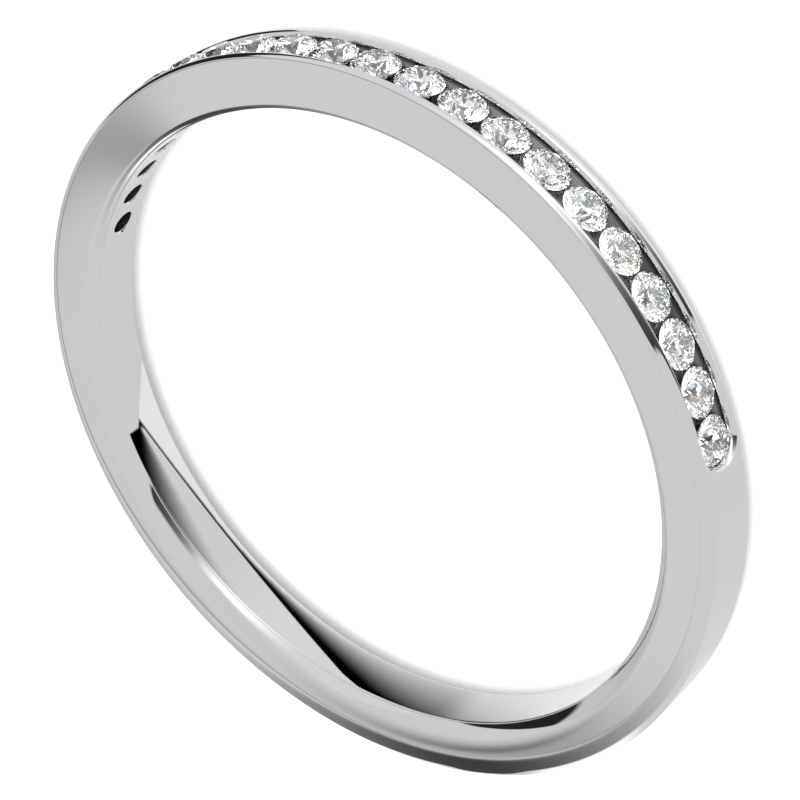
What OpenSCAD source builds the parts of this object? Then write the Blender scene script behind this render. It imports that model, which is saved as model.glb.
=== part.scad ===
/* [Finger bore] */
// Inside diameter of the ring
bore_d = 17.3; // [15.7:0.1:20.6]
// Small break on the two inner edges
edge_break = 0.04; // [0.02:0.01:0.08]
// Width of the inside face between the two inner edges
inside_w = 1.36; // [1.2:0.02:1.5]

/* [Shank] */
// Metal between the bore and the outside, at either side of the finger
wall_t = 1.5; // [1.4:0.01:1.8]
// How far the outside's axis lies below the bore's, which makes the metal thinner at the stones
outside_drop = 0.06; // [0:0.01:0.1]
// Width of the shank at its fullest, under the finger
shank_w = 2.1; // [1.96:0.02:2.3]
// Distance from the inner edge out to the fullest place
belly_run = 0.82; // [0.7:0.02:0.9]
// Width of the level strip along the middle of the outside
crown_flat_w = 1.44; // [1.2:0.02:1.5]
// Fall of the rounded shoulders beside that strip
crown_drop = 0.64; // [0.5:0.01:0.66]
// Lean of the two side faces, in degrees
side_draft = 6.8; // [5:0.2:9]
// Angle from the top of the ring at which the side faces run out
side_run = 150; // [125:5:165]

/* [Stones] */
// Number of stones in the row
stone_count = 21; // [9:2:23]
// Diameter of a stone at its girdle
stone_d = 1.2; // [1.1:0.02:1.26]
// Gap between neighbouring girdles
stone_gap = 0.03; // [0.016:0.002:0.05]
// Height of the girdle's edge
girdle_h = 0.03; // [0.02:0.01:0.05]
// Table width as a share of the stone's diameter
table_share = 0.56; // [0.52:0.01:0.62]
// Crown height as a share of the stone's diameter
crown_share = 0.16; // [0.14:0.005:0.17]
// Pavilion depth as a share of the stone's diameter
pavilion_share = 0.43; // [0.42:0.005:0.44]
// Height of the middle stone's table above the outside of the band
table_rise = 0.055; // [-0.05:0.005:0.06]

/* [Channel] */
// Clearance between a girdle and the channel's walls
wall_clear = 0.02; // [0.01:0.005:0.04]
// Drop from the girdle to the ledge under it
ledge_drop = 0.045; // [0.03:0.005:0.08]
// Height above the girdles up to which the walls are upright
wall_foot = 0.02; // [0.01:0.005:0.03]
// How far each wall leans outward from there up to the bevel
wall_lean = 0.045; // [0.03:0.005:0.06]
// Height of the bevel along the channel's rim, at the middle stone
rim_bevel = 0.03; // [0.02:0.005:0.05]
// Thickness of a rail beside the channel, at the top of its wall
rail_t = 0.195; // [0.17:0.005:0.25]
// Diameter of the light hole under each stone
light_hole_d = 0.64; // [0.5:0.02:0.7]
// Height of the channel's floor above the stones' points
floor_rise = 0.05; // [0.03:0.01:0.1]
// Extra depth and width of the round seat at each end of the channel
end_relief = 0.005; // [0.004:0.001:0.01]

/* [Hidden] */
$fn = 96;

ARC_STEPS = 8;
MAIN_FACETS = 8;
SHARP_START = 45;
OVERRUN = 0.5;
STAR_SHARE = 0.5;
LOWER_HALF_SHARE = 0.78;

bore_r = bore_d / 2;
crest_r = bore_r + wall_t;
top_r = crest_r - outside_drop;
shoulder_r = crest_r - crown_drop;
inner_edge_r = bore_r + edge_break;
inside_half = inside_w / 2;
shank_half = shank_w / 2;
belly_r = inner_edge_r + belly_run;
mid_z = shank_half;

stone_r = stone_d / 2;
table_r = stone_r * table_share;
crown_h = stone_d * crown_share;
pavilion_h = stone_d * pavilion_share;
girdle_top_r = top_r + table_rise - crown_h;
girdle_low_r = girdle_top_r - girdle_h;
point_r = girdle_low_r - pavilion_h;
pitch = 2 * asin((stone_d + stone_gap) / (girdle_top_r + girdle_low_r));
row_half = pitch * (stone_count - 1) / 2;

ledge_r = girdle_low_r - ledge_drop;
ledge_half = stone_r * (ledge_r - point_r) / pavilion_h + wall_clear;
floor_r = point_r + floor_rise;
floor_half = stone_r * floor_rise / pavilion_h + wall_clear;
wall_half = stone_r + wall_clear;
wall_foot_r = girdle_top_r + wall_foot;
wall_top_r = top_r - rim_bevel;
wall_top_half = wall_half + wall_lean;
flare = crest_r - wall_top_r + edge_break;

rail_half = wall_top_half + rail_t;
rail_edge_r = crown_r(rail_half) - outside_drop;
draft = tan(side_draft);
side_shift = ((shank_half - rail_half) / draft - (belly_r - rail_edge_r)) / (1 - cos(side_run));
side_root = rail_half - draft * (rail_edge_r - side_shift);

function stone_name(i) = str("stone_", i < 10 ? "0" : "", i);
// Radius of the rounded outside at a distance from the middle of the width
function crown_r(a) = let (share = max(0, a - crown_flat_w / 2) / (shank_half - crown_flat_w / 2))
    crest_r - crown_drop * (1 - sqrt(1 - share * share));
// Half width of the rounded side at a share of the way from the inner edge to the belly
function belly_half(u) = let (reach = sin(SHARP_START) * (1 - u))
    inside_half + (shank_half - inside_half) * (sqrt(1 - reach * reach) - cos(SHARP_START))
    / (1 - cos(SHARP_START));
function mirrored(points) = concat(points, [for (i = [len(points) - 1:-1:0]) [points[i].x, -points[i].y]]);
function stone_angle(i) = 90 + row_half - pitch * (i - 1);

// Bore and bellied sides, as radius about the bore's axis and half width
inner_half = concat(
    [[bore_r, inside_half - edge_break]],
    [for (i = [0:ARC_STEPS]) [inner_edge_r + belly_run * i / ARC_STEPS, belly_half(i / ARC_STEPS)]],
    [[crest_r + OVERRUN, shank_half]]);

// Shoulders and crown, as radius about the outside's axis and half width
outer_half = concat(
    [[0, shank_half + OVERRUN], [shoulder_r, shank_half + OVERRUN]],
    [for (i = [0:ARC_STEPS]) let (t = 90 * i / ARC_STEPS)
        [shoulder_r + crown_drop * sin(t), crown_flat_w / 2 + (shank_half - crown_flat_w / 2) * cos(t)]]);

// Half section of the channel as width and radius, with a relief at its floor, ledge and wall
function slot_half(relief) = [
    [0, floor_r - relief],
    [floor_half + relief, floor_r - relief],
    [ledge_half + relief, ledge_r - relief],
    [wall_half + relief, ledge_r - relief],
    [wall_half + relief, wall_foot_r - relief],
    [wall_top_half + relief, wall_top_r - relief],
    [wall_top_half + flare + relief, wall_top_r + flare - relief],
    [0, wall_top_r + flare - relief]];

// The full round body before its sides and channel are cut
module blank() {
    intersection() {
        rotate_extrude() polygon(mirrored(inner_half));
        translate([0, -outside_drop, 0]) rotate_extrude() polygon(mirrored(outer_half));
    }
}

// Everything beyond one leaning side face: a wide cone whose axis stands off the ring's
module side_cut() {
    start_r = bore_r - side_shift - OVERRUN;
    low = side_root + draft * start_r;
    high = shank_half + OVERRUN;
    translate([0, side_shift, low])
        cylinder(h = high - low, r1 = start_r, r2 = start_r + (high - low) / draft);
}

// The channel along the row, its section drawn with the radius along X
module channel_run() {
    section = mirrored([for (p = slot_half(0)) [p.y, p.x]]);
    rotate([0, 0, 90 - row_half]) rotate_extrude(angle = 2 * row_half) polygon(section);
}

// The round seat of an end stone, which rounds off the channel beyond it
module channel_end() {
    rotate([0, 90, 0]) rotate_extrude() polygon(slot_half(end_relief));
}

module channel() {
    channel_run();
    for (side = [-1, 1]) rotate([0, 0, 90 + side * row_half]) channel_end();
}

module light_hole() {
    start = bore_r - OVERRUN;
    rotate([0, 90, 0]) translate([0, 0, start]) cylinder(h = floor_r + flare - start, d = light_hole_d);
}

// One round brilliant, its point down and the low edge of its girdle at height 0
module brilliant() {
    step = 360 / MAIN_FACETS;
    half = step / 2;
    rim = 2 * MAIN_FACETS;
    edge_r = table_r * cos(half);
    star_r = edge_r + STAR_SHARE * (stone_r - edge_r);
    star_z = girdle_h + crown_h - crown_h * (star_r * cos(half) - table_r) / (stone_r - table_r);
    lower_r = (1 - LOWER_HALF_SHARE) * stone_r;
    lower_z = pavilion_h * (lower_r * cos(half) / stone_r - 1);
    function ring(r, z, start, n) = [for (i = [0:n - 1]) let (t = start + 360 * i / n)
        [r * cos(t), r * sin(t), z]];
    tables = 0;
    stars = tables + MAIN_FACETS;
    uppers = stars + MAIN_FACETS;
    lowers = uppers + rim;
    halves = lowers + rim;
    point = halves + MAIN_FACETS;
    points = concat(
        ring(table_r, girdle_h + crown_h, 0, MAIN_FACETS),
        ring(star_r, star_z, half, MAIN_FACETS),
        ring(stone_r, girdle_h, 0, rim),
        ring(stone_r, 0, 0, rim),
        ring(lower_r, lower_z, half, MAIN_FACETS),
        [[0, 0, -pavilion_h]]);
    last = MAIN_FACETS - 1;
    faces = concat(
        [[for (i = [last:-1:0]) tables + i]],
        [for (i = [0:last]) let (j = (i + 1) % MAIN_FACETS, k = (i + last) % MAIN_FACETS,
                g = 2 * i, h = 2 * i + 1, n = (2 * i + 2) % rim)
            each [[tables + i, tables + j, stars + i],
                  [tables + i, stars + i, uppers + g, stars + k],
                  [stars + i, uppers + h, uppers + g],
                  [stars + i, uppers + n, uppers + h],
                  [lowers + g, halves + i, point, halves + k],
                  [lowers + g, lowers + h, halves + i],
                  [lowers + h, lowers + n, halves + i]]],
        [for (i = [0:rim - 1]) let (j = (i + 1) % rim)
            [uppers + i, uppers + j, lowers + j, lowers + i]]);
    polyhedron(points, faces);
}

module band() {
    color("silver") translate([0, 0, mid_z]) difference() {
        blank();
        side_cut();
        mirror([0, 0, 1]) side_cut();
        channel();
        for (i = [1:stone_count]) rotate([0, 0, stone_angle(i)]) light_hole();
    }
}

module stone(i) {
    color("white") translate([0, 0, mid_z]) rotate([0, 0, stone_angle(i)])
        rotate([0, 90, 0]) translate([0, 0, girdle_low_r]) brilliant();
}

band();
for (i = [1:stone_count]) stone(i);
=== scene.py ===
# %% [markdown]
# # A channel set band
# A slim white gold ring lies on its side. Its upper part carries a row of round brilliant stones, held
# between two rails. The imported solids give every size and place, and this script gives each of them the
# form and the finish that the polished ring has.

import functools
import math

import bmesh
import bpy
from mathutils import Matrix, Vector
from mathutils.bvhtree import BVHTree
from mathutils.interpolate import poly_3d_calc


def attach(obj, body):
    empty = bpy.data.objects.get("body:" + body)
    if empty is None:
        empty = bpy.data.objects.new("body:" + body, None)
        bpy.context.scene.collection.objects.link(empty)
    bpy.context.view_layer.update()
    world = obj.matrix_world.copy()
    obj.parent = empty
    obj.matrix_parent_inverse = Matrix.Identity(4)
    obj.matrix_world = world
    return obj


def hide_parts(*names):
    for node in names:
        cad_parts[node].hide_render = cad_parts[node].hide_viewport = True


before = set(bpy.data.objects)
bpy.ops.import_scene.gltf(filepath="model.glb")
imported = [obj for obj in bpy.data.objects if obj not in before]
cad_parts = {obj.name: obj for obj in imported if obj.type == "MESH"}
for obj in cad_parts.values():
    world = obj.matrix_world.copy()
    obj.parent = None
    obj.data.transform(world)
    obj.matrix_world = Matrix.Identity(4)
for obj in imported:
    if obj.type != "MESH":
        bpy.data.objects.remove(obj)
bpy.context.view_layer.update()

# %% [markdown]
# The ring was drawn from a few driving sizes, and the same ones come back here, in millimetres. Everything is
# modelled in millimetres and made metres at the end, because a ring in metres is so small that the
# modelling tools' own tolerances would start to show.

# %% Driving sizes in millimetres
MM = 0.001
bore_r = 8.65
wall_t = 1.5
outside_drop = 0.06
edge_break = 0.04
inside_half = 0.68
shank_half = 1.05
belly_run = 0.82
crown_flat_half = 0.72
crown_drop = 0.64
side_draft = math.radians(6.8)
side_run = math.radians(150)

stone_count = 21
stone_d = 1.2
stone_gap = 0.03
girdle_h = 0.03
table_share = 0.56
crown_share = 0.16
pavilion_share = 0.43
table_rise = 0.055

wall_clear = 0.02
ledge_drop = 0.045
wall_foot = 0.02
wall_lean = 0.045
rim_bevel = 0.03
rail_t = 0.195
light_hole_r = 0.32
floor_rise = 0.05
print("bore", 2 * bore_r, "mm, metal", wall_t, "mm,", stone_count, "stones of", stone_d, "mm")

# %% Sizes that follow from them
crest_r = bore_r + wall_t
top_r = crest_r - outside_drop
shoulder_r = crest_r - crown_drop
inner_edge_r = bore_r + edge_break
belly_r = inner_edge_r + belly_run
middle = Vector((0, 0, shank_half))

stone_r = stone_d / 2
crown_h = stone_d * crown_share
pavilion_h = stone_d * pavilion_share
girdle_top_r = top_r + table_rise - crown_h
girdle_low_r = girdle_top_r - girdle_h
point_r = girdle_low_r - pavilion_h
pitch = 2 * math.asin((stone_d + stone_gap) / (girdle_top_r + girdle_low_r))
row_half = pitch * (stone_count - 1) / 2
stone_angles = [math.pi / 2 + row_half - pitch * i for i in range(stone_count)]

ledge_r = girdle_low_r - ledge_drop
ledge_half = stone_r * (ledge_r - point_r) / pavilion_h + wall_clear
floor_r = point_r + floor_rise
floor_half = stone_r * floor_rise / pavilion_h + wall_clear
wall_half = stone_r + wall_clear
wall_foot_r = girdle_top_r + wall_foot
wall_top_r = top_r - rim_bevel
wall_top_half = wall_half + wall_lean
rail_half = wall_top_half + rail_t
print("pitch", round(math.degrees(pitch), 3), "degrees, row ends at", round(math.degrees(row_half), 2))

# %% [markdown]
# A few small helpers serve every piece. One turns a finished bmesh in millimetres into an object in metres.
# Another makes a chain of points into edges that a spin can sweep. The rest draw an arc, mix two values, and
# weld and turn outwards what was spun.

# %% Helpers for meshes
def make_object(name, bm, scale=MM, lift=middle):
    """A mesh object from a bmesh that was modelled about the ring's centre, with its place in its mesh."""
    bmesh.ops.translate(bm, vec=lift, verts=bm.verts)
    bmesh.ops.scale(bm, vec=(scale, scale, scale), verts=bm.verts)
    mesh = bpy.data.meshes.new(name)
    bm.to_mesh(mesh)
    bm.free()
    piece = bpy.data.objects.new(name, mesh)
    bpy.context.scene.collection.objects.link(piece)
    return piece


def chain(bm, points, closed=False):
    """Vertices joined by edges along a list of points, as the start of a spin."""
    verts = [bm.verts.new(p) for p in points]
    edges = [bm.edges.new(pair) for pair in zip(verts, verts[1:])]
    if closed:
        edges.append(bm.edges.new((verts[-1], verts[0])))
    return verts + edges


def arc(centre, radii, start, end, steps):
    """Points of an elliptic arc from one angle to another, both ends included."""
    angles = [start + (end - start) * i / steps for i in range(steps + 1)]
    return [(centre[0] + radii[0] * math.cos(a), centre[1] + radii[1] * math.sin(a)) for a in angles]


def mix(a, b, share):
    """The value at a share of the way from a to b."""
    return a + (b - a) * share


def closed_outwards(bm, weld=1e-4):
    """Welds the seams of a spun shape and points its faces outwards."""
    bmesh.ops.remove_doubles(bm, verts=bm.verts, dist=weld)
    bmesh.ops.recalc_face_normals(bm, faces=bm.faces)

# %% [markdown]
# The band starts as a turned blank, as it would on a lathe. Its half section runs from the bore over the
# small edge break, out along the bellied side, over the rounded shoulder and onto the level crown. A full
# spin with use_merge closes it with no seam.

# %% Half section of the blank
BORE_STEPS = 4
EDGE_STEPS = 4
BELLY_STEPS = 18
SHOULDER_STEPS = 40
CROWN_STEPS = 5
SHARP_START = math.radians(45)
EDGE_LEAD = 0.01


def belly_half(share):
    """Half width of the side at a share of the way from the inner edge to the belly."""
    reach = math.sin(SHARP_START) * (1 - share)
    rise = (math.sqrt(1 - reach * reach) - math.cos(SHARP_START)) / (1 - math.cos(SHARP_START))
    return mix(inside_half, shank_half, rise)


def half_section():
    """The blank's outline as radius and half width, from the bore's middle to the crown's middle."""
    bore_edge = inside_half - edge_break
    bore = [(bore_r, bore_edge * i / BORE_STEPS) for i in range(BORE_STEPS)]
    bore.append((bore_r, bore_edge - EDGE_LEAD))
    turn = arc((bore_r + edge_break, bore_edge), (edge_break, edge_break), math.pi, math.pi / 2, EDGE_STEPS)
    side = [(mix(inner_edge_r, belly_r, i / BELLY_STEPS), belly_half(i / BELLY_STEPS))
            for i in range(1, BELLY_STEPS + 1)]
    shoulder = arc((shoulder_r, crown_flat_half), (crown_drop, shank_half - crown_flat_half),
                   math.pi / 2, 0, SHOULDER_STEPS)[1:]
    crown = [(crest_r, crown_flat_half * (1 - i / CROWN_STEPS)) for i in range(1, CROWN_STEPS)]
    return bore + turn + side + shoulder + crown


upper = half_section() + [(crest_r, 0.0)]
outline = upper + [(r, -z) for r, z in reversed(upper[1:-1])]
print("section points:", len(outline))

# %% [markdown]
# The metal is a little thinner at the stones than under the finger, because the outside was turned about an
# axis just below the bore's. So each point of the outside moves down by that much, and the side between
# outside and bore follows in part. Both side faces lean in towards the top, so the ring is slimmer at the
# stones too. A goldsmith files them so. Here each point that stands proud of the leaning face is brought down
# onto it. A smooth minimum in place of a hard one leaves the fine rounding that polishing gives the rail's
# edge.

# %% Turn the blank, shift its outside and lean its sides
TURN_STEPS = 420
EDGE_SOFTNESS = 0.03
DROP_LEAD = 0.3
DROP_RUN = 0.4


def crown_r(half):
    """Radius of the rounded outside at a distance from the middle of the width."""
    share = max(0.0, half - crown_flat_half) / (shank_half - crown_flat_half)
    return crest_r - crown_drop * (1 - math.sqrt(1 - share * share))


draft = math.tan(side_draft)
rail_edge_r = crown_r(rail_half) - outside_drop
side_shift = ((shank_half - rail_half) / draft - (belly_r - rail_edge_r)) / (1 - math.cos(side_run))
side_root = rail_half - draft * (rail_edge_r - side_shift)


def smooth_least(a, b, soft):
    """The lesser of two values, rounded where they come within soft of each other."""
    near = max(soft - abs(a - b), 0.0)
    return min(a, b) - near * near / (4 * soft)


def drop_at(point):
    """How far down the outside's own axis brings a point of the blank."""
    share = (math.hypot(point.x, point.y) - belly_r + DROP_LEAD) / DROP_RUN
    share = min(max(share, 0.0), 1.0)
    return outside_drop * share * share * (3 - 2 * share)


def lean_limit(point):
    """Half width of the leaning side faces at a point's place in the ring."""
    return side_root + draft * math.hypot(point.x, point.y - side_shift)


blank = bmesh.new()
bmesh.ops.spin(blank, geom=chain(blank, [(r, 0, z) for r, z in outline], closed=True), cent=(0, 0, 0),
               axis=(0, 0, 1), angle=math.tau, steps=TURN_STEPS, use_merge=True)
for vert in blank.verts:
    vert.co.y -= drop_at(vert.co)
    held = smooth_least(abs(vert.co.z), lean_limit(vert.co), EDGE_SOFTNESS)
    vert.co.z = math.copysign(held, vert.co.z)
closed_outwards(blank)
print("blank:", len(blank.faces), "faces, shift", round(side_shift, 3))

# %% [markdown]
# The channel is milled along the row, and each end is rounded by the same cutter as it plunges over the last
# stone. So the cutter's section is spun twice: about the ring's axis for the run, and half a turn about each
# end stone's own axis for the ends. Its outline holds the floor, the sloping flanks under the stones, the
# ledges on which the girdles sit, the walls that flare out above the girdles and the fine bevel along the
# rim.

# %% Section of the channel cutter
OVERRUN = 0.3
LEDGE_ROUND = 0.012
RIM_ROUND = 0.012


def rounded_corner(before, corner, after, radius, steps=3):
    """Points that round a corner of an outline, from radius before it to radius after it."""
    start = Vector(corner) + (Vector(before) - Vector(corner)).normalized() * radius
    end = Vector(corner) + (Vector(after) - Vector(corner)).normalized() * radius
    shares = [i / steps for i in range(steps + 1)]
    return [tuple(start.lerp(Vector(corner), s).lerp(Vector(corner).lerp(end, s), s)) for s in shares]


def cutter_half():
    """The cutter's half outline as half width and radius, from its floor's middle to its top's."""
    flare = crest_r - wall_top_r + edge_break
    floor_corner = (floor_half, floor_r)
    ledge_corner = (ledge_half, ledge_r)
    wall_corner = (wall_half, ledge_r)
    foot = (wall_half, wall_foot_r)
    rim_corner = (wall_top_half, wall_top_r)
    outside = (wall_top_half + flare, wall_top_r + flare)
    top = crest_r + OVERRUN
    return ([(0.0, floor_r)]
            + rounded_corner((0.0, floor_r), floor_corner, ledge_corner, 2 * LEDGE_ROUND)
            + rounded_corner(floor_corner, ledge_corner, wall_corner, LEDGE_ROUND)
            + rounded_corner(ledge_corner, wall_corner, foot, LEDGE_ROUND)
            + rounded_corner(wall_corner, foot, rim_corner, RIM_ROUND)
            + rounded_corner(foot, rim_corner, outside, RIM_ROUND, steps=5)
            + [outside, (outside[0], top), (0.0, top)])


half_cutter = cutter_half()
print("cutter outline:", len(half_cutter), "points")

# %% Spin the channel cutter
RUN_STEPS = 180
END_STEPS = 36


def radial(across, radius, angle):
    """A point at a distance from the middle of the width and at a radius, set at an angle of the ring."""
    turned = Matrix.Rotation(angle, 3, "Z") @ Vector((radius, 0, 0))
    return Vector((turned.x, turned.y, across))


cutter = bmesh.new()
first, last = stone_angles[-1], stone_angles[0]
both_halves = half_cutter + [(-a, r) for a, r in reversed(half_cutter[1:-1])]
bmesh.ops.spin(cutter, geom=chain(cutter, [radial(a, r, first) for a, r in both_halves], closed=True),
               cent=(0, 0, 0), axis=(0, 0, 1), angle=last - first, steps=RUN_STEPS)
for angle, turn in ((first, 1), (last, -1)):
    axis = Vector((math.cos(angle), math.sin(angle), 0))
    bmesh.ops.spin(cutter, geom=chain(cutter, [radial(a, r, angle) for a, r in half_cutter]),
                   cent=(0, 0, 0), axis=axis, angle=turn * math.pi, steps=END_STEPS)
closed_outwards(cutter)
open_edges = [edge for edge in cutter.edges if not edge.is_manifold]
print("channel cutter:", len(cutter.faces), "faces, open edges:", len(open_edges))

# %% [markdown]
# A light hole is drilled from the bore under every stone, so that light reaches its pavilion. Each drill is a
# spun outline with a small countersink where it enters, and all of them share one mesh.

# %% Drills for the light holes
HOLE_STEPS = 48
COUNTERSINK = 0.035
drills = bmesh.new()
drill_outline = [(0.0, bore_r - OVERRUN), (light_hole_r + COUNTERSINK + OVERRUN, bore_r - OVERRUN),
                 (light_hole_r + COUNTERSINK, bore_r)]
drill_outline += rounded_corner(drill_outline[-1], (light_hole_r, bore_r + COUNTERSINK),
                                (light_hole_r, ledge_r), COUNTERSINK / 2)
drill_outline += [(light_hole_r, ledge_r), (0.0, ledge_r)]
for angle in stone_angles:
    axis = Vector((math.cos(angle), math.sin(angle), 0))
    bmesh.ops.spin(drills, geom=chain(drills, [radial(a, r, angle) for a, r in drill_outline]),
                   cent=(0, 0, 0), axis=axis, angle=math.tau, steps=HOLE_STEPS, use_merge=True)
closed_outwards(drills)
print("drills:", len(drills.faces), "faces, open edges:", sum(not e.is_manifold for e in drills.edges))

# %% [markdown]
# The cuts are Boolean modifiers, applied one after the other. A Boolean leaves long faces beside its cuts,
# and plain smooth shading would bend the light over them, which a mirror finish shows at once. So every
# corner of the cut band takes its normal from the uncut form that its face came from. The three forms are
# told apart by their material index while they are cut.

# %% Cut the band
BLANK, CHANNEL, DRILLED = 0, 1, 2
SHARP = math.radians(28)


def smooth_source(name, bm, index):
    """A temporary object in millimetres whose faces all carry one material index."""
    for face in bm.faces:
        face.material_index = index
        face.smooth = True
    source = make_object(name, bm, scale=1, lift=Vector())
    for _ in range(3):
        source.data.materials.append(None)
    source.data.set_sharp_from_angle(angle=SHARP)
    return source


def cut(target, tool):
    """Takes one closed form out of another and keeps the result in the target's mesh."""
    modifier = target.modifiers.new("cut", "BOOLEAN")
    modifier.operation = "DIFFERENCE"
    modifier.solver = "EXACT"
    modifier.object = tool
    graph = bpy.context.evaluated_depsgraph_get()
    result = bpy.data.meshes.new_from_object(target.evaluated_get(graph), depsgraph=graph)
    target.modifiers.clear()
    target.data = result


sources = [smooth_source("uncut", blank, BLANK), smooth_source("channel_tool", cutter, CHANNEL),
           smooth_source("drill_tool", drills, DRILLED)]
band = sources[0].copy()
band.data = sources[0].data.copy()
band.name = "polished_band"
bpy.context.scene.collection.objects.link(band)
cut(band, sources[1])
cut(band, sources[2])
print("cut band:", len(band.data.polygons), "faces")

# %% Give every corner the normal of the form it came from
CORNER_NUDGE = 0.02


def normal_reader(source, sign):
    """A function from a point on a form to that form's smooth normal there."""
    mesh = source.data
    corners = [Vector(c.vector) for c in mesh.corner_normals]
    points = [v.co.copy() for v in mesh.vertices]
    loops = [list(p.loop_indices) for p in mesh.polygons]
    faces = [list(p.vertices) for p in mesh.polygons]
    tree = BVHTree.FromPolygons(points, faces)

    def read(point):
        place, _, face, _ = tree.find_nearest(point)
        weights = poly_3d_calc([points[v] for v in faces[face]], place)
        normal = sum((corners[loop] * w for loop, w in zip(loops[face], weights)), Vector())
        return sign * normal.normalized()

    return read


readers = [normal_reader(sources[BLANK], 1), normal_reader(sources[CHANNEL], -1),
           normal_reader(sources[DRILLED], -1)]
mesh = band.data
normals = [Vector((0, 0, 1))] * len(mesh.loops)
for polygon in mesh.polygons:
    centre = polygon.center
    for loop in polygon.loop_indices:
        corner = mesh.vertices[mesh.loops[loop].vertex_index].co
        normals[loop] = readers[polygon.material_index](corner.lerp(centre, CORNER_NUDGE))
mesh.transform(Matrix.Scale(MM, 4) @ Matrix.Translation(middle))
mesh.polygons.foreach_set("material_index", [0] * len(mesh.polygons))
mesh.polygons.foreach_set("use_smooth", [True] * len(mesh.polygons))
mesh.normals_split_custom_set(normals)
mesh.materials.clear()
for source in sources:
    bpy.data.objects.remove(source)
print("band:", len(mesh.polygons), "faces,", sum(len(p.vertices) - 2 for p in mesh.polygons), "triangles")

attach(band, "root")
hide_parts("band")

# %% [markdown]
# Each stone is a round brilliant of 57 facets. A cutter starts from a round rough and grinds one flat facet
# after another, and here it goes the same way: bisect_plane takes off what stands beyond each facet's plane,
# and the cut is closed with a face. The halves on either side of the girdle then meet its round edge in the
# small scallops that real stones have.

# %% Cut one round brilliant
GIRDLE_STEPS = 80
MAIN_FACETS = 8
STAR_SHARE = 0.5
LOWER_HALF_SHARE = 0.78
TABLE_Z = girdle_h + crown_h
table_r = stone_r * table_share


def at(radius, angle, height):
    """A point of the stone from its radius, its angle and its height above the girdle's low edge."""
    return Vector((radius * math.cos(angle), radius * math.sin(angle), height))


def grind(bm, place, normal):
    """Takes off what stands beyond a plane and closes the cut with one flat facet."""
    found = bmesh.ops.bisect_plane(bm, geom=bm.verts[:] + bm.edges[:] + bm.faces[:], dist=1e-6,
                                   plane_co=place, plane_no=normal, clear_outer=True)
    rim = [part for part in found["geom_cut"] if isinstance(part, bmesh.types.BMEdge)]
    bmesh.ops.contextual_create(bm, geom=rim)


def grind_through(bm, a, b, c):
    """Grinds the facet that holds three points, on the side away from the stone's middle."""
    normal = (b - a).cross(c - a).normalized()
    grind(bm, a, normal if normal.dot(a) > 0 else -normal)


def brilliant():
    """A bmesh of one round brilliant, its point down and the low edge of its girdle at height 0."""
    bm = bmesh.new()
    bmesh.ops.create_cone(bm, cap_ends=True, segments=GIRDLE_STEPS, radius1=stone_r, radius2=stone_r,
                          depth=3 * stone_d)
    step = math.tau / MAIN_FACETS
    half = step / 2
    edge_r = table_r * math.cos(half)
    star_r = mix(edge_r, stone_r, STAR_SHARE)
    star_z = TABLE_Z - crown_h * (star_r * math.cos(half) - table_r) / (stone_r - table_r)
    lower_r = (1 - LOWER_HALF_SHARE) * stone_r
    lower_z = pavilion_h * (lower_r * math.cos(half) / stone_r - 1)
    grind(bm, Vector((0, 0, TABLE_Z)), Vector((0, 0, 1)))
    point = Vector((0, 0, -pavilion_h))
    for i in range(MAIN_FACETS):
        a = i * step
        grind(bm, at(stone_r, a, girdle_h), at(crown_h, a, stone_r - table_r).normalized())
        grind(bm, point, at(pavilion_h, a, -stone_r).normalized())
    for i in range(MAIN_FACETS):
        a, b, c = i * step, i * step + half, (i + 1) * step
        star, lower = at(star_r, b, star_z), at(lower_r, b, lower_z)
        grind_through(bm, at(table_r, a, TABLE_Z), at(table_r, c, TABLE_Z), star)
        for start, end in ((a, b), (b, c)):
            grind_through(bm, at(stone_r, start, girdle_h), at(stone_r, end, girdle_h), star)
            grind_through(bm, at(stone_r, start, 0), at(stone_r, end, 0), lower)
    closed_outwards(bm, weld=1e-5)
    return bm


first_stone = brilliant()
open_edges = [edge for edge in first_stone.edges if not edge.is_manifold]
print("brilliant:", len(first_stone.faces), "faces, open edges:", len(open_edges))

# %% [markdown]
# Twenty-one stones sit in the row, each replacing the plain solid of the same number. Nobody lines their
# facets up when they are set, so each is turned about its own axis by a different amount, which makes every
# stone sparkle in its own way.

# %% Set the stones in the channel
SPIN_STEP = math.radians(137.5)
stones = []
for i, angle in enumerate(stone_angles):
    stone = first_stone.copy()
    bmesh.ops.rotate(stone, cent=(0, 0, 0), matrix=Matrix.Rotation(i * SPIN_STEP, 3, "Z"), verts=stone.verts)
    bmesh.ops.translate(stone, vec=(0, 0, girdle_low_r), verts=stone.verts)
    bmesh.ops.rotate(stone, cent=(0, 0, 0), matrix=Matrix.Rotation(math.pi / 2, 3, "Y"), verts=stone.verts)
    bmesh.ops.rotate(stone, cent=(0, 0, 0), matrix=Matrix.Rotation(angle, 3, "Z"), verts=stone.verts)
    piece = make_object(f"brilliant_{i + 1:02d}", stone)
    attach(piece, "root")
    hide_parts(f"stone_{i + 1:02d}")
    stones.append(piece)
first_stone.free()
print("stones set:", len(stones))

# %% [markdown]
# White gold is polished to a mirror, yet a worn ring is never quite even. Under a loupe it has hairlines from
# polishing and wear, and faint clouds where the rouge has left it a touch softer. One node group makes both
# from noise in Object coordinates, so the pattern sits on the metal. It gives out a roughness and a height.

# %% Node helpers
def new_material(name):
    """A material with its Principled shader, ready for sockets to be set."""
    material = bpy.data.materials.new(name)
    material.use_nodes = True
    return material, material.node_tree.nodes["Principled BSDF"]


def add(tree, kind, label="", **values):
    """A node with its properties or named inputs set."""
    node = tree.nodes.new(kind)
    node.label = label
    for key, value in values.items():
        if hasattr(node, key):
            setattr(node, key, value)
        else:
            node.inputs[key.replace("_", " ").title()].default_value = value
    return node


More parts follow.
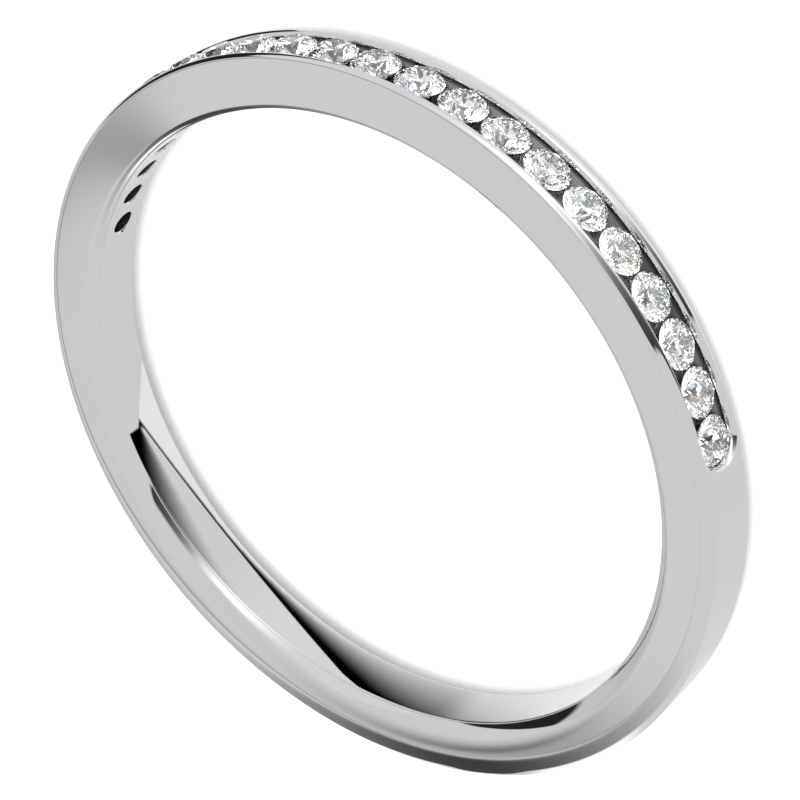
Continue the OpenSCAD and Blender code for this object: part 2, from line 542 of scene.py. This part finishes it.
def calc_in(tree, operation, *values):
    """A Math node in a tree on sockets or numbers."""
    node = add(tree, "ShaderNodeMath", operation=operation)
    for slot, value in zip(node.inputs, values):
        if isinstance(value, (int, float)):
            slot.default_value = value
        else:
            tree.links.new(value, slot)
    return node.outputs["Value"]


def fade_in(tree, value, start, end):
    """0 before start and 1 after end, smooth between them. Start may be the greater one."""
    node = add(tree, "ShaderNodeMapRange", interpolation_type="SMOOTHSTEP")
    tree.links.new(value, node.inputs["Value"])
    flip = start > end
    node.inputs["From Min"].default_value = end if flip else start
    node.inputs["From Max"].default_value = start if flip else end
    node.inputs["To Min"].default_value = 1.0 if flip else 0.0
    node.inputs["To Max"].default_value = 0.0 if flip else 1.0
    return node.outputs["Result"]


# %% Polish marks, shared by the metal and the stones
marks = bpy.data.node_groups.new("polish_marks", "ShaderNodeTree")
for name, start in (("Fineness", 900.0), ("Smooth", 0.03), ("Worn", 0.08)):
    marks.interface.new_socket(name, in_out="INPUT", socket_type="NodeSocketFloat").default_value = start
for name in ("Roughness", "Height", "Cloud"):
    marks.interface.new_socket(name, in_out="OUTPUT", socket_type="NodeSocketFloat")
given = marks.nodes.new("NodeGroupInput")
out = marks.nodes.new("NodeGroupOutput")
where = marks.nodes.new("ShaderNodeTexCoord")
stretch = add(marks, "ShaderNodeMapping", "hairlines run along the ring")
stretch.inputs["Scale"].default_value = (1.0, 1.0, 9.0)
hairs = add(marks, "ShaderNodeTexNoise", "hairlines", Detail=6.0, Roughness=0.7)
clouds = add(marks, "ShaderNodeTexNoise", "clouds", Scale=420.0, Detail=3.0)
cloud_range = add(marks, "ShaderNodeMapRange", "clouds made distinct", From_Min=0.38, From_Max=0.66)
hair_range = add(marks, "ShaderNodeMapRange", "few hairlines", From_Min=0.56, From_Max=0.74)
both = add(marks, "ShaderNodeMath", "hairlines in clouds", operation="MULTIPLY")
level = add(marks, "ShaderNodeMix", "roughness", data_type="FLOAT")
link = marks.links.new
link(where.outputs["Object"], stretch.inputs["Vector"])
link(stretch.outputs["Vector"], hairs.inputs["Vector"])
link(where.outputs["Object"], clouds.inputs["Vector"])
link(given.outputs["Fineness"], hairs.inputs["Scale"])
link(clouds.outputs["Fac"], cloud_range.inputs["Value"])
link(hairs.outputs["Fac"], hair_range.inputs["Value"])
link(cloud_range.outputs["Result"], both.inputs[0])
link(hair_range.outputs["Result"], both.inputs[1])
link(both.outputs["Value"], level.inputs["Factor"])
link(given.outputs["Smooth"], level.inputs["A"])
link(given.outputs["Worn"], level.inputs["B"])
link(level.outputs["Result"], out.inputs["Roughness"])
link(both.outputs["Value"], out.inputs["Height"])
link(cloud_range.outputs["Result"], out.inputs["Cloud"])
print("marks group:", len(marks.nodes), "nodes")


def place_marks(material, fineness, smooth, worn):
    """The polish marks group in a material, with this finish's own values."""
    group = material.node_tree.nodes.new("ShaderNodeGroup")
    group.node_tree = marks
    for socket, value in (("Fineness", fineness), ("Smooth", smooth), ("Worn", worn)):
        group.inputs[socket].default_value = value
    return group


# %% [markdown]
# A polishing wheel reaches the outside, the sides and the bore, but not what lies under the stones. The seats
# and the light holes keep the satin of the cutter, and they are also painted a darker grey, as painted shade
# in the recesses under and between the stones. The bore, which only ever meets the finger, has no hairlines.
# The distance from the ring's axis and from the middle of its width tells these places apart.

# %% Where the white gold is guarded from the wheel or from wear
BORE_KEPT = 0.03
WORN_RUN = 0.05
SEAT_SOFT = 0.01
WALL_OUTER, WALL_INNER = 0.012, 0.004
gold, gold_shader = new_material("polished_white_gold")
spot = add(gold.node_tree, "ShaderNodeTexCoord")
axes = add(gold.node_tree, "ShaderNodeSeparateXYZ")
gold.node_tree.links.new(spot.outputs["Object"], axes.inputs["Vector"])
gold_calc = functools.partial(calc_in, gold.node_tree)
gold_fade = functools.partial(fade_in, gold.node_tree)
squares = [gold_calc("MULTIPLY", axes.outputs[name], axes.outputs[name]) for name in "XY"]
radius = gold_calc("SQRT", gold_calc("ADD", *squares))
aside = gold_calc("ABSOLUTE", gold_calc("SUBTRACT", axes.outputs["Z"], shank_half * MM))
worn = gold_fade(radius, (bore_r + BORE_KEPT) * MM, (bore_r + BORE_KEPT + WORN_RUN) * MM)
below_rim = gold_fade(radius, wall_foot_r * MM, (wall_foot_r - SEAT_SOFT) * MM)
between_walls = gold_fade(aside, (wall_half + WALL_OUTER) * MM, (wall_half + WALL_INNER) * MM)
# The seat mask carries both the cutter's satin roughness and the painted shade of the recesses under the
# stones.
satin_and_shaded_seat = gold_calc("MULTIPLY", gold_calc("MULTIPLY", below_rim, between_walls), worn)
print("places on the gold:", len(gold.node_tree.nodes), "nodes")

# %% [markdown]
# White gold is a pale metal with the faintest warmth. Its colour drifts by a hair in clouds, and the
# hairlines have a depth as well as a roughness, so they catch the light. In the seats a rougher satin takes
# over, with a darker grey that is painted shade in the recesses under the stones. Mix nodes do this better
# than separate materials, because every change is a soft one.

# %% White gold
HAIR_DEPTH = 0.000003
gold_shader.inputs["Metallic"].default_value = 1.0
gold_marks = place_marks(gold, 2600.0, 0.012, 0.05)
tint = add(gold.node_tree, "ShaderNodeMix", "faint warm and cool clouds", data_type="RGBA")
tint.inputs["A"].default_value = (0.765, 0.762, 0.757, 1)
tint.inputs["B"].default_value = (0.745, 0.744, 0.742, 1)
bump = add(gold.node_tree, "ShaderNodeBump", "hairlines cut in", Strength=0.02, invert=True)
bump.inputs["Distance"].default_value = HAIR_DEPTH
link = gold.node_tree.links.new
# The dark grey mixed in here is painted shade for the seats under and between the stones.
seat_painted_shade = add(gold.node_tree, "ShaderNodeMix", "painted shade in seats", data_type="RGBA")
seat_painted_shade.inputs["B"].default_value = (0.24, 0.24, 0.245, 1)
guarded = add(gold.node_tree, "ShaderNodeMix", "clean bore", data_type="FLOAT")
guarded.inputs["A"].default_value = 0.006
satin = add(gold.node_tree, "ShaderNodeMix", "satin seats", data_type="FLOAT")
satin.inputs["B"].default_value = 0.35
link(gold_marks.outputs["Cloud"], tint.inputs["Factor"])
link(tint.outputs["Result"], seat_painted_shade.inputs["A"])
link(satin_and_shaded_seat, seat_painted_shade.inputs["Factor"])
link(seat_painted_shade.outputs["Result"], gold_shader.inputs["Base Color"])
link(worn, guarded.inputs["Factor"])
link(gold_marks.outputs["Roughness"], guarded.inputs["B"])
link(guarded.outputs["Result"], satin.inputs["A"])
link(satin_and_shaded_seat, satin.inputs["Factor"])
link(satin.outputs["Result"], gold_shader.inputs["Roughness"])
link(gold_calc("MULTIPLY", gold_marks.outputs["Height"], worn), bump.inputs["Height"])
link(bump.outputs["Normal"], gold_shader.inputs["Normal"])
band.data.materials.append(gold)
print("white gold:", len(gold.node_tree.nodes), "nodes")

# %% [markdown]
# The stones are clear, with the high refractive index of diamond, and all their sparkle comes from light that
# is thrown about between their facets. Their colour varies by a hair, and the polish marks are far fainter
# than on metal. The girdle is ground and not polished on small stones, so it shows as a thin frosted rim. An
# attribute on its faces tells the shader where it is.

# %% Diamond
GIRDLE_TILT = 0.2
diamond, diamond_shader = new_material("brilliant_diamond")
diamond_shader.inputs["Transmission Weight"].default_value = 1.0
diamond_shader.inputs["IOR"].default_value = 2.42
diamond_marks = place_marks(diamond, 3000.0, 0.0, 0.006)
rim_mask = add(diamond.node_tree, "ShaderNodeAttribute", "ground girdle", attribute_name="ground")
rim_rough = add(diamond.node_tree, "ShaderNodeMix", "frosted rim", data_type="FLOAT")
rim_rough.inputs["B"].default_value = 0.4
clear = add(diamond.node_tree, "ShaderNodeMix", "hair of colour", data_type="RGBA")
clear.inputs["A"].default_value = (1.0, 1.0, 1.0, 1)
clear.inputs["B"].default_value = (0.985, 0.992, 1.0, 1)
link = diamond.node_tree.links.new
link(diamond_marks.outputs["Cloud"], clear.inputs["Factor"])
link(clear.outputs["Result"], diamond_shader.inputs["Base Color"])
link(diamond_marks.outputs["Roughness"], rim_rough.inputs["A"])
link(rim_mask.outputs["Fac"], rim_rough.inputs["Factor"])
link(rim_rough.outputs["Result"], diamond_shader.inputs["Roughness"])
for stone, angle in zip(stones, stone_angles):
    mesh = stone.data
    outward = Vector((math.cos(angle), math.sin(angle), 0))
    ground = mesh.attributes.new("ground", "FLOAT", "FACE")
    tilts = [abs(p.normal.dot(outward)) for p in mesh.polygons]
    ground.data.foreach_set("value", [1.0 if tilt < GIRDLE_TILT else 0.0 for tilt in tilts])
    mesh.materials.append(diamond)
print("ground girdle faces:", sum(tilt < GIRDLE_TILT for tilt in tilts))

# %% [markdown]
# Polished metal has hardly any look of its own. It shows the studio around it: a white tent with a few cards
# and one lamp, which put dark edges and bright streaks into its curves. The tent is the world's shader. The
# cards stand like fence boards round the ring's axis, so each has its place in the bearing about that axis,
# and its top and bottom in the height along it.

# %% Node helpers for the tent
TENT_WHITE = 0.79
world = bpy.data.worlds.new("studio_tent")
bpy.context.scene.world = world
world.use_nodes = True
tent = world.node_tree
background = tent.nodes["Background"]
calc = functools.partial(calc_in, tent)
fade = functools.partial(fade_in, tent)


def blend(share, a, b):
    """The value at a share of the way from a to b, each a socket or a number."""
    node = add(tent, "ShaderNodeMix", data_type="FLOAT")
    for name, value in (("Factor", share), ("A", a), ("B", b)):
        if isinstance(value, (int, float)):
            node.inputs[name].default_value = value
        else:
            tent.links.new(value, node.inputs[name])
    return node.outputs["Result"]


def times(*values):
    """The product of several sockets or numbers."""
    return functools.reduce(functools.partial(calc, "MULTIPLY"), values)


def plus(*values):
    """The sum of several sockets or numbers."""
    return functools.reduce(functools.partial(calc, "ADD"), values)


def minus(a, b):
    """The first socket or number less the second."""
    return calc("SUBTRACT", a, b)


def over(a, b):
    """The first socket or number divided by the second."""
    return calc("DIVIDE", a, b)


def greater(a, b):
    """The greater of two sockets or numbers."""
    return calc("MAXIMUM", a, b)


# %% Bearing and height of the way a ray looks
RAMP_START, RAMP_END = -100.0, 260.0
look = add(tent, "ShaderNodeTexCoord").outputs["Generated"]
parts = add(tent, "ShaderNodeSeparateXYZ")
tent.links.new(look, parts.inputs["Vector"])
height = parts.outputs["Z"]
bearing = times(calc("ARCTAN2", parts.outputs["Y"], parts.outputs["X"]), 180 / math.pi)
round_bearing = plus(calc("FLOORED_MODULO", minus(bearing, RAMP_START), 360.0), RAMP_START)
print("bearings run from", RAMP_START, "to", RAMP_END, "degrees")

# %% [markdown]
# The largest thing round the ring is a panel that runs from black at one end over grey to a lamp's bright
# strip, and on to plain paper, followed by a narrow black card. Colour ramps hold such a run of levels well:
# every stop is a bearing and how bright the tent is there. Below the ring's level the panel leans, so the
# bearing that is read off the ramp moves along with the height.

# %% The graded panel, the lamp and the black card
PANEL_STOPS = [(15, 0.79), (20.5, 0.79), (21.5, 0.05), (33, 0.10), (42, 0.22), (50, 0.5), (58, 1.0),
               (68, 1.4), (84, 1.4), (94, 1.08), (106, 0.88), (120, 0.85), (149.5, 0.87), (150.5, 0.02),
               (189, 0.02), (190.5, 0.70), (205, 0.70), (230, 0.74), (250, 0.79)]
RAMP_TOP = 1.6
SLANT = 33.0
HIGH_SHIFT = 5.0
PANEL_TOP = (0.93, 0.86)
CARD_TOP = (0.475, 0.445)
CARD_START = (140, 146)
lowered = greater(times(height, -1.0), 0.0)
slanted = plus(round_bearing, times(lowered, SLANT), times(fade(height, 0.4, 0.8), HIGH_SHIFT))


def ramp(value, stops):
    """A level read off a list of bearings and levels."""
    node = add(tent, "ShaderNodeValToRGB")
    elements = node.color_ramp.elements
    while len(elements) > 1:
        elements.remove(elements[0])
    places = [(spot - RAMP_START) / (RAMP_END - RAMP_START) for spot, _ in stops]
    elements[0].position = places[0]
    for place in places[1:]:
        elements.new(place)
    for element, (_, shade) in zip(elements, stops):
        element.color = (shade / RAMP_TOP,) * 3 + (1,)
    share = over(minus(value, RAMP_START), RAMP_END - RAMP_START)
    tent.links.new(share, node.inputs["Fac"])
    return times(node.outputs["Color"], RAMP_TOP)


fence = ramp(slanted, PANEL_STOPS)
fence_top = blend(fade(round_bearing, *CARD_START), fade(height, *PANEL_TOP), fade(height, *CARD_TOP))
level = blend(fence_top, TENT_WHITE, fence)
print("tent nodes so far:", len(tent.nodes))

# %% [markdown]
# The side of the shank turns dark towards its lowest part, because the paper in front of the ring falls into
# shade there. That shade is a bent strip in the tent. How far a direction is turned down along the strip, and
# how far it is off to its side, are read from the half way vector between it and the strip's own far end.
# Measured so, the bent strip runs straight, and a few smooth falls can draw it.

# %% Soft bent shade in front of the ring
SHADE_END = Vector((0.409, 0.679, 0.609))
DOWN = Vector((0.342, -0.940, 0.0))
ASIDE = Vector((-0.940, -0.342, 0.0))
LEAST_RISE = 0.05
BEND = 0.105
NARROWEST = 0.000064
SOFT_SEAM = (-0.002, 0.002)
SHADE_LEVEL = 0.08


def half_way(axis):
    """How far the half way vector leans along a level axis, as a share of its rise."""
    along = plus(times(parts.outputs["X"], axis.x), times(parts.outputs["Y"], axis.y))
    rise = greater(plus(height, SHADE_END.z), LEAST_RISE)
    return over(plus(along, axis.dot(SHADE_END)), rise)


def bell(square):
    """1 where a square is 0, and soon near 0 where it grows."""
    return calc("EXPONENT", times(square, -1.0))


turned = plus(half_way(DOWN), 0.06)
down_strip = calc("ABSOLUTE", turned)
off = plus(half_way(ASIDE), minus(times(turned, BEND), 0.004))
past_middle = fade(off, *SOFT_SEAM)
upper_part = blend(past_middle, plus(times(down_strip, 1.6), 0.3), 0.55)
lower_part = blend(past_middle, 0.78, 1.2)
widening = blend(fade(turned, *SOFT_SEAM), upper_part, lower_part)
spread = plus(calc("POWER", times(down_strip, widening), 2.0), NARROWEST)
strip = bell(over(times(off, off), spread))
for place, sharpness, strength in ((-0.035, 22.0, 0.5), (0.0, 70.0, 0.4)):
    away = times(calc("ABSOLUTE", minus(turned, place)), sharpness)
    strip = times(strip, minus(1.0, times(bell(calc("POWER", away, 2.0)), strength)))
above_floor = fade(height, -0.50, -0.40)
sideways = over(times(off, -1.0), greater(turned, 0.1))
longer = times(fade(calc("ABSOLUTE", sideways), 0.16, 0.06), 0.2)
shade = times(strip, fade(turned, -0.56, 0.08), fade(minus(turned, longer), 0.57, 0.44), above_floor)
level = times(level, blend(shade, 1.0, SHADE_LEVEL))
print("tent nodes with the shade:", len(tent.nodes))

# %% [markdown]
# The paper on both sides of the shade is bright, and gives two glints along the ring's lowest edge. The lower
# side of the ring, away from the lamp, sees paper that is a little greyer.

# %% Glints beside the shade
RIGHT_LEVEL = 1.28
LEFT_LEVEL = 1.0
LOW_SIDE_LEVEL = 0.84


def glint(start, full, fading, gone):
    """The bright paper on one side of the shade, between two slopes off its middle."""
    across = times(fade(sideways, start, full), fade(sideways, gone, fading))
    return times(fade(turned, 0.45, 0.57), across, above_floor)


level = blend(glint(0.14, 0.26, 0.58, 0.78), level, RIGHT_LEVEL)
level = blend(glint(-0.10, -0.22, -0.42, -0.62), level, LEFT_LEVEL)
low_side = times(fade(height, 0.60, -0.10), fade(round_bearing, 195, 208), fade(round_bearing, 246, 232))
level = times(level, blend(low_side, 1.0, LOW_SIDE_LEVEL))

# %% [markdown]
# Low in the bore there are long black wedges, where a dark gap shows between the near paper and the brighter
# paper behind the ring. The bore's wall is upright, so all that it mirrors lies at nearly one height, and a
# gap of a fraction of a degree becomes a wide wedge. It widens along the bore because the gap grows with the
# bearing.

# %% The step low behind the ring, with its dark gap
STEP_Z = -0.6003
STEP_EDGE = 0.0001
CURVE_Z = -0.5997
CURVE_RISE = 0.0078
CURVE_POWER = 0.77
CURVE_REACH = 43.0
FLOOR_SLOPE = 1525.0
GAP_LEAST = 0.0005
GAP_GROWTH = 4.4e-9
BEHIND_LEVELS = (1.02, 0.84)
NEAR_LEVELS = (0.81, 0.88)
LOWER_LEFT_LEVEL = 0.98

widened = times(calc("POWER", greater(round_bearing, 0.0), 3.0), GAP_GROWTH)
gap = plus(times(widened, fade(round_bearing, 215, 190)), GAP_LEAST)
below = over(minus(STEP_Z, height), gap)
behind = times(fade(below, 0.3, 1.9), blend(fade(round_bearing, 60, 150), *BEHIND_LEVELS))
above_curve = minus(height, CURVE_Z)
risen = greater(over(above_curve, CURVE_RISE), 0.02)
reach = over(round_bearing, times(calc("POWER", risen, CURVE_POWER), CURVE_REACH))
near_panel = times(fade(reach, 0.3, 1.6), blend(fade(round_bearing, 50, 90), *NEAR_LEVELS))
near_panel = blend(fade(round_bearing, -1.0, -0.2), TENT_WHITE, near_panel)
near_step = times(fade(height, -0.575, -0.588), fade(round_bearing, 150, 120))
level = blend(near_step, level, near_panel)
level = blend(fade(height, STEP_Z + STEP_EDGE, STEP_Z - STEP_EDGE), level, behind)
slope = minus(round_bearing, times(above_curve, FLOOR_SLOPE))
beside_slope = fade(greater(slope, minus(round_bearing, 1.0)), 0.5, -0.5)
floor_side = greater(beside_slope, fade(round_bearing, -17.5, -18.5))
level = blend(times(floor_side, fade(height, -0.57, -0.59)), level, TENT_WHITE)
lower_left = times(fade(height, -0.60, -0.645), fade(round_bearing, 150, 165), fade(round_bearing, 238, 222))
level = blend(lower_left, level, LOWER_LEFT_LEVEL)
print("tent nodes with the step:", len(tent.nodes))

# %% [markdown]
# A diamond splits the light that leaves it into colours, which the renderer's glass doesn't do. So the rays
# that come out of a stone see the same tent with a fine pattern of brighter, darker and tinted patches, as if
# it were hung with many small lamps. Nothing else sees them.

# %% Sparkle and fire for the rays that leave a stone
SPARKLE_GAIN = 1.5
LAMP_GAIN = 2.0
DARK_LEVEL = 0.03
PATCH_EDGE = 0.01
path = add(tent, "ShaderNodeLightPath")


def patches(scale):
    """The random colour of each patch of a pattern over all directions, as its three parts."""
    cells = add(tent, "ShaderNodeTexVoronoi", Scale=scale)
    tent.links.new(look, cells.inputs["Vector"])
    split = add(tent, "ShaderNodeSeparateColor")
    tent.links.new(cells.outputs["Color"], split.inputs["Color"])
    return split.outputs


def above(value, threshold):
    """0 in the patches whose random value is below a threshold and 1 in the others."""
    return fade(value, threshold - PATCH_EDGE, threshold + PATCH_EDGE)


lamps = patches(1.3)
paper_or_dark = blend(above(lamps["Red"], 0.39), DARK_LEVEL, 1.0)
bright = plus(paper_or_dark, times(above(lamps["Green"], 0.65), LAMP_GAIN))
tints = patches(6.0)
hue = add(tent, "ShaderNodeMix", "warm or cool", data_type="RGBA")
hue.inputs["A"].default_value = (1.0, 0.72, 0.42, 1)
hue.inputs["B"].default_value = (0.45, 0.78, 1.0, 1)
tent.links.new(above(tints["Green"], 0.45), hue.inputs["Factor"])
tinted = times(above(tints["Red"], 0.89), path.outputs["Is Transmission Ray"])
colour = add(tent, "ShaderNodeMix", data_type="RGBA")
colour.inputs["A"].default_value = (1, 1, 1, 1)
tent.links.new(tinted, colour.inputs["Factor"])
tent.links.new(hue.outputs["Result"], colour.inputs["B"])
tent.links.new(colour.outputs["Result"], background.inputs["Color"])
from_stone = times(level, bright, SPARKLE_GAIN)
level = blend(path.outputs["Is Transmission Ray"], level, from_stone)

# %% [markdown]
# The cards are only there for the metal and the stones. Light that falls on the paper floor comes from an
# even bright tent, so that the floor shows no colours or stripes, and behind the ring the camera sees plain
# white. The Light Path node tells these rays apart.

# %% What the floor and the camera see of the tent
FLOOR_LIGHT = 2.3
level = blend(path.outputs["Is Diffuse Ray"], level, FLOOR_LIGHT)
level = blend(path.outputs["Is Camera Ray"], level, 1.0)
tent.links.new(level, background.inputs["Strength"])
print("tent nodes:", len(tent.nodes))

# %% [markdown]
# The ring lies on a plain pale floor. The floor is kept out of reflections, because the tent already stands
# for everything that the metal sees below it.

# %% Floor and soft light
FLOOR_R = 0.6
floor_mesh = bmesh.new()
bmesh.ops.create_circle(floor_mesh, cap_ends=True, segments=96, radius=FLOOR_R)
floor = make_object("studio_floor", floor_mesh, scale=1, lift=Vector())
floor_finish, floor_shader = new_material("pale_paper")
floor_shader.inputs["Base Color"].default_value = (0.9, 0.9, 0.895, 1)
floor_shader.inputs["Roughness"].default_value = 0.9
floor.data.materials.append(floor_finish)
floor.visible_glossy = False
floor.visible_transmission = False
print("floor:", 2 * FLOOR_R, "m across")

# %% [markdown]
# The camera looks at the ring as the photograph does, from in front, above and to one side, through a long
# lens. It is placed by its eye, in millimetres from the ring's centre, and by the ways that are right and up
# in its picture, because the ring lies down while the picture shows it upright.

# %% Camera
eye = Vector((31.50, 37.83, 42.98))
right = Vector((0.81254, 0, -0.5828))
up = Vector((-0.33418, 0.8192, -0.466))
back = right.cross(up).normalized()
lens = bpy.data.cameras.new("studio_camera")
lens.lens = 117.0
lens.clip_start = 0.005
lens.clip_end = 10.0
camera = bpy.data.objects.new("studio_camera", lens)
bpy.context.scene.collection.objects.link(camera)
turn = Matrix((right.normalized(), up.normalized(), back)).transposed().to_4x4()
camera.matrix_world = Matrix.Translation((eye + middle) * MM) @ turn
bpy.context.scene.camera = camera
print("camera at", [round(v, 4) for v in camera.matrix_world.translation], "m")

# %% [markdown]
# Light is thrown about between many facets before it leaves a stone, so glass is given many bounces. With
# too few of them the stones turn dark. The view transform is the plain one, so that the white of the paper
# stays white.

# %% Light bounces and colour
scene = bpy.context.scene
scene.view_settings.view_transform = "Standard"
scene.cycles.max_bounces = 24
scene.cycles.glossy_bounces = 16
scene.cycles.transmission_bounces = 24
print("bounces:", scene.cycles.max_bounces)
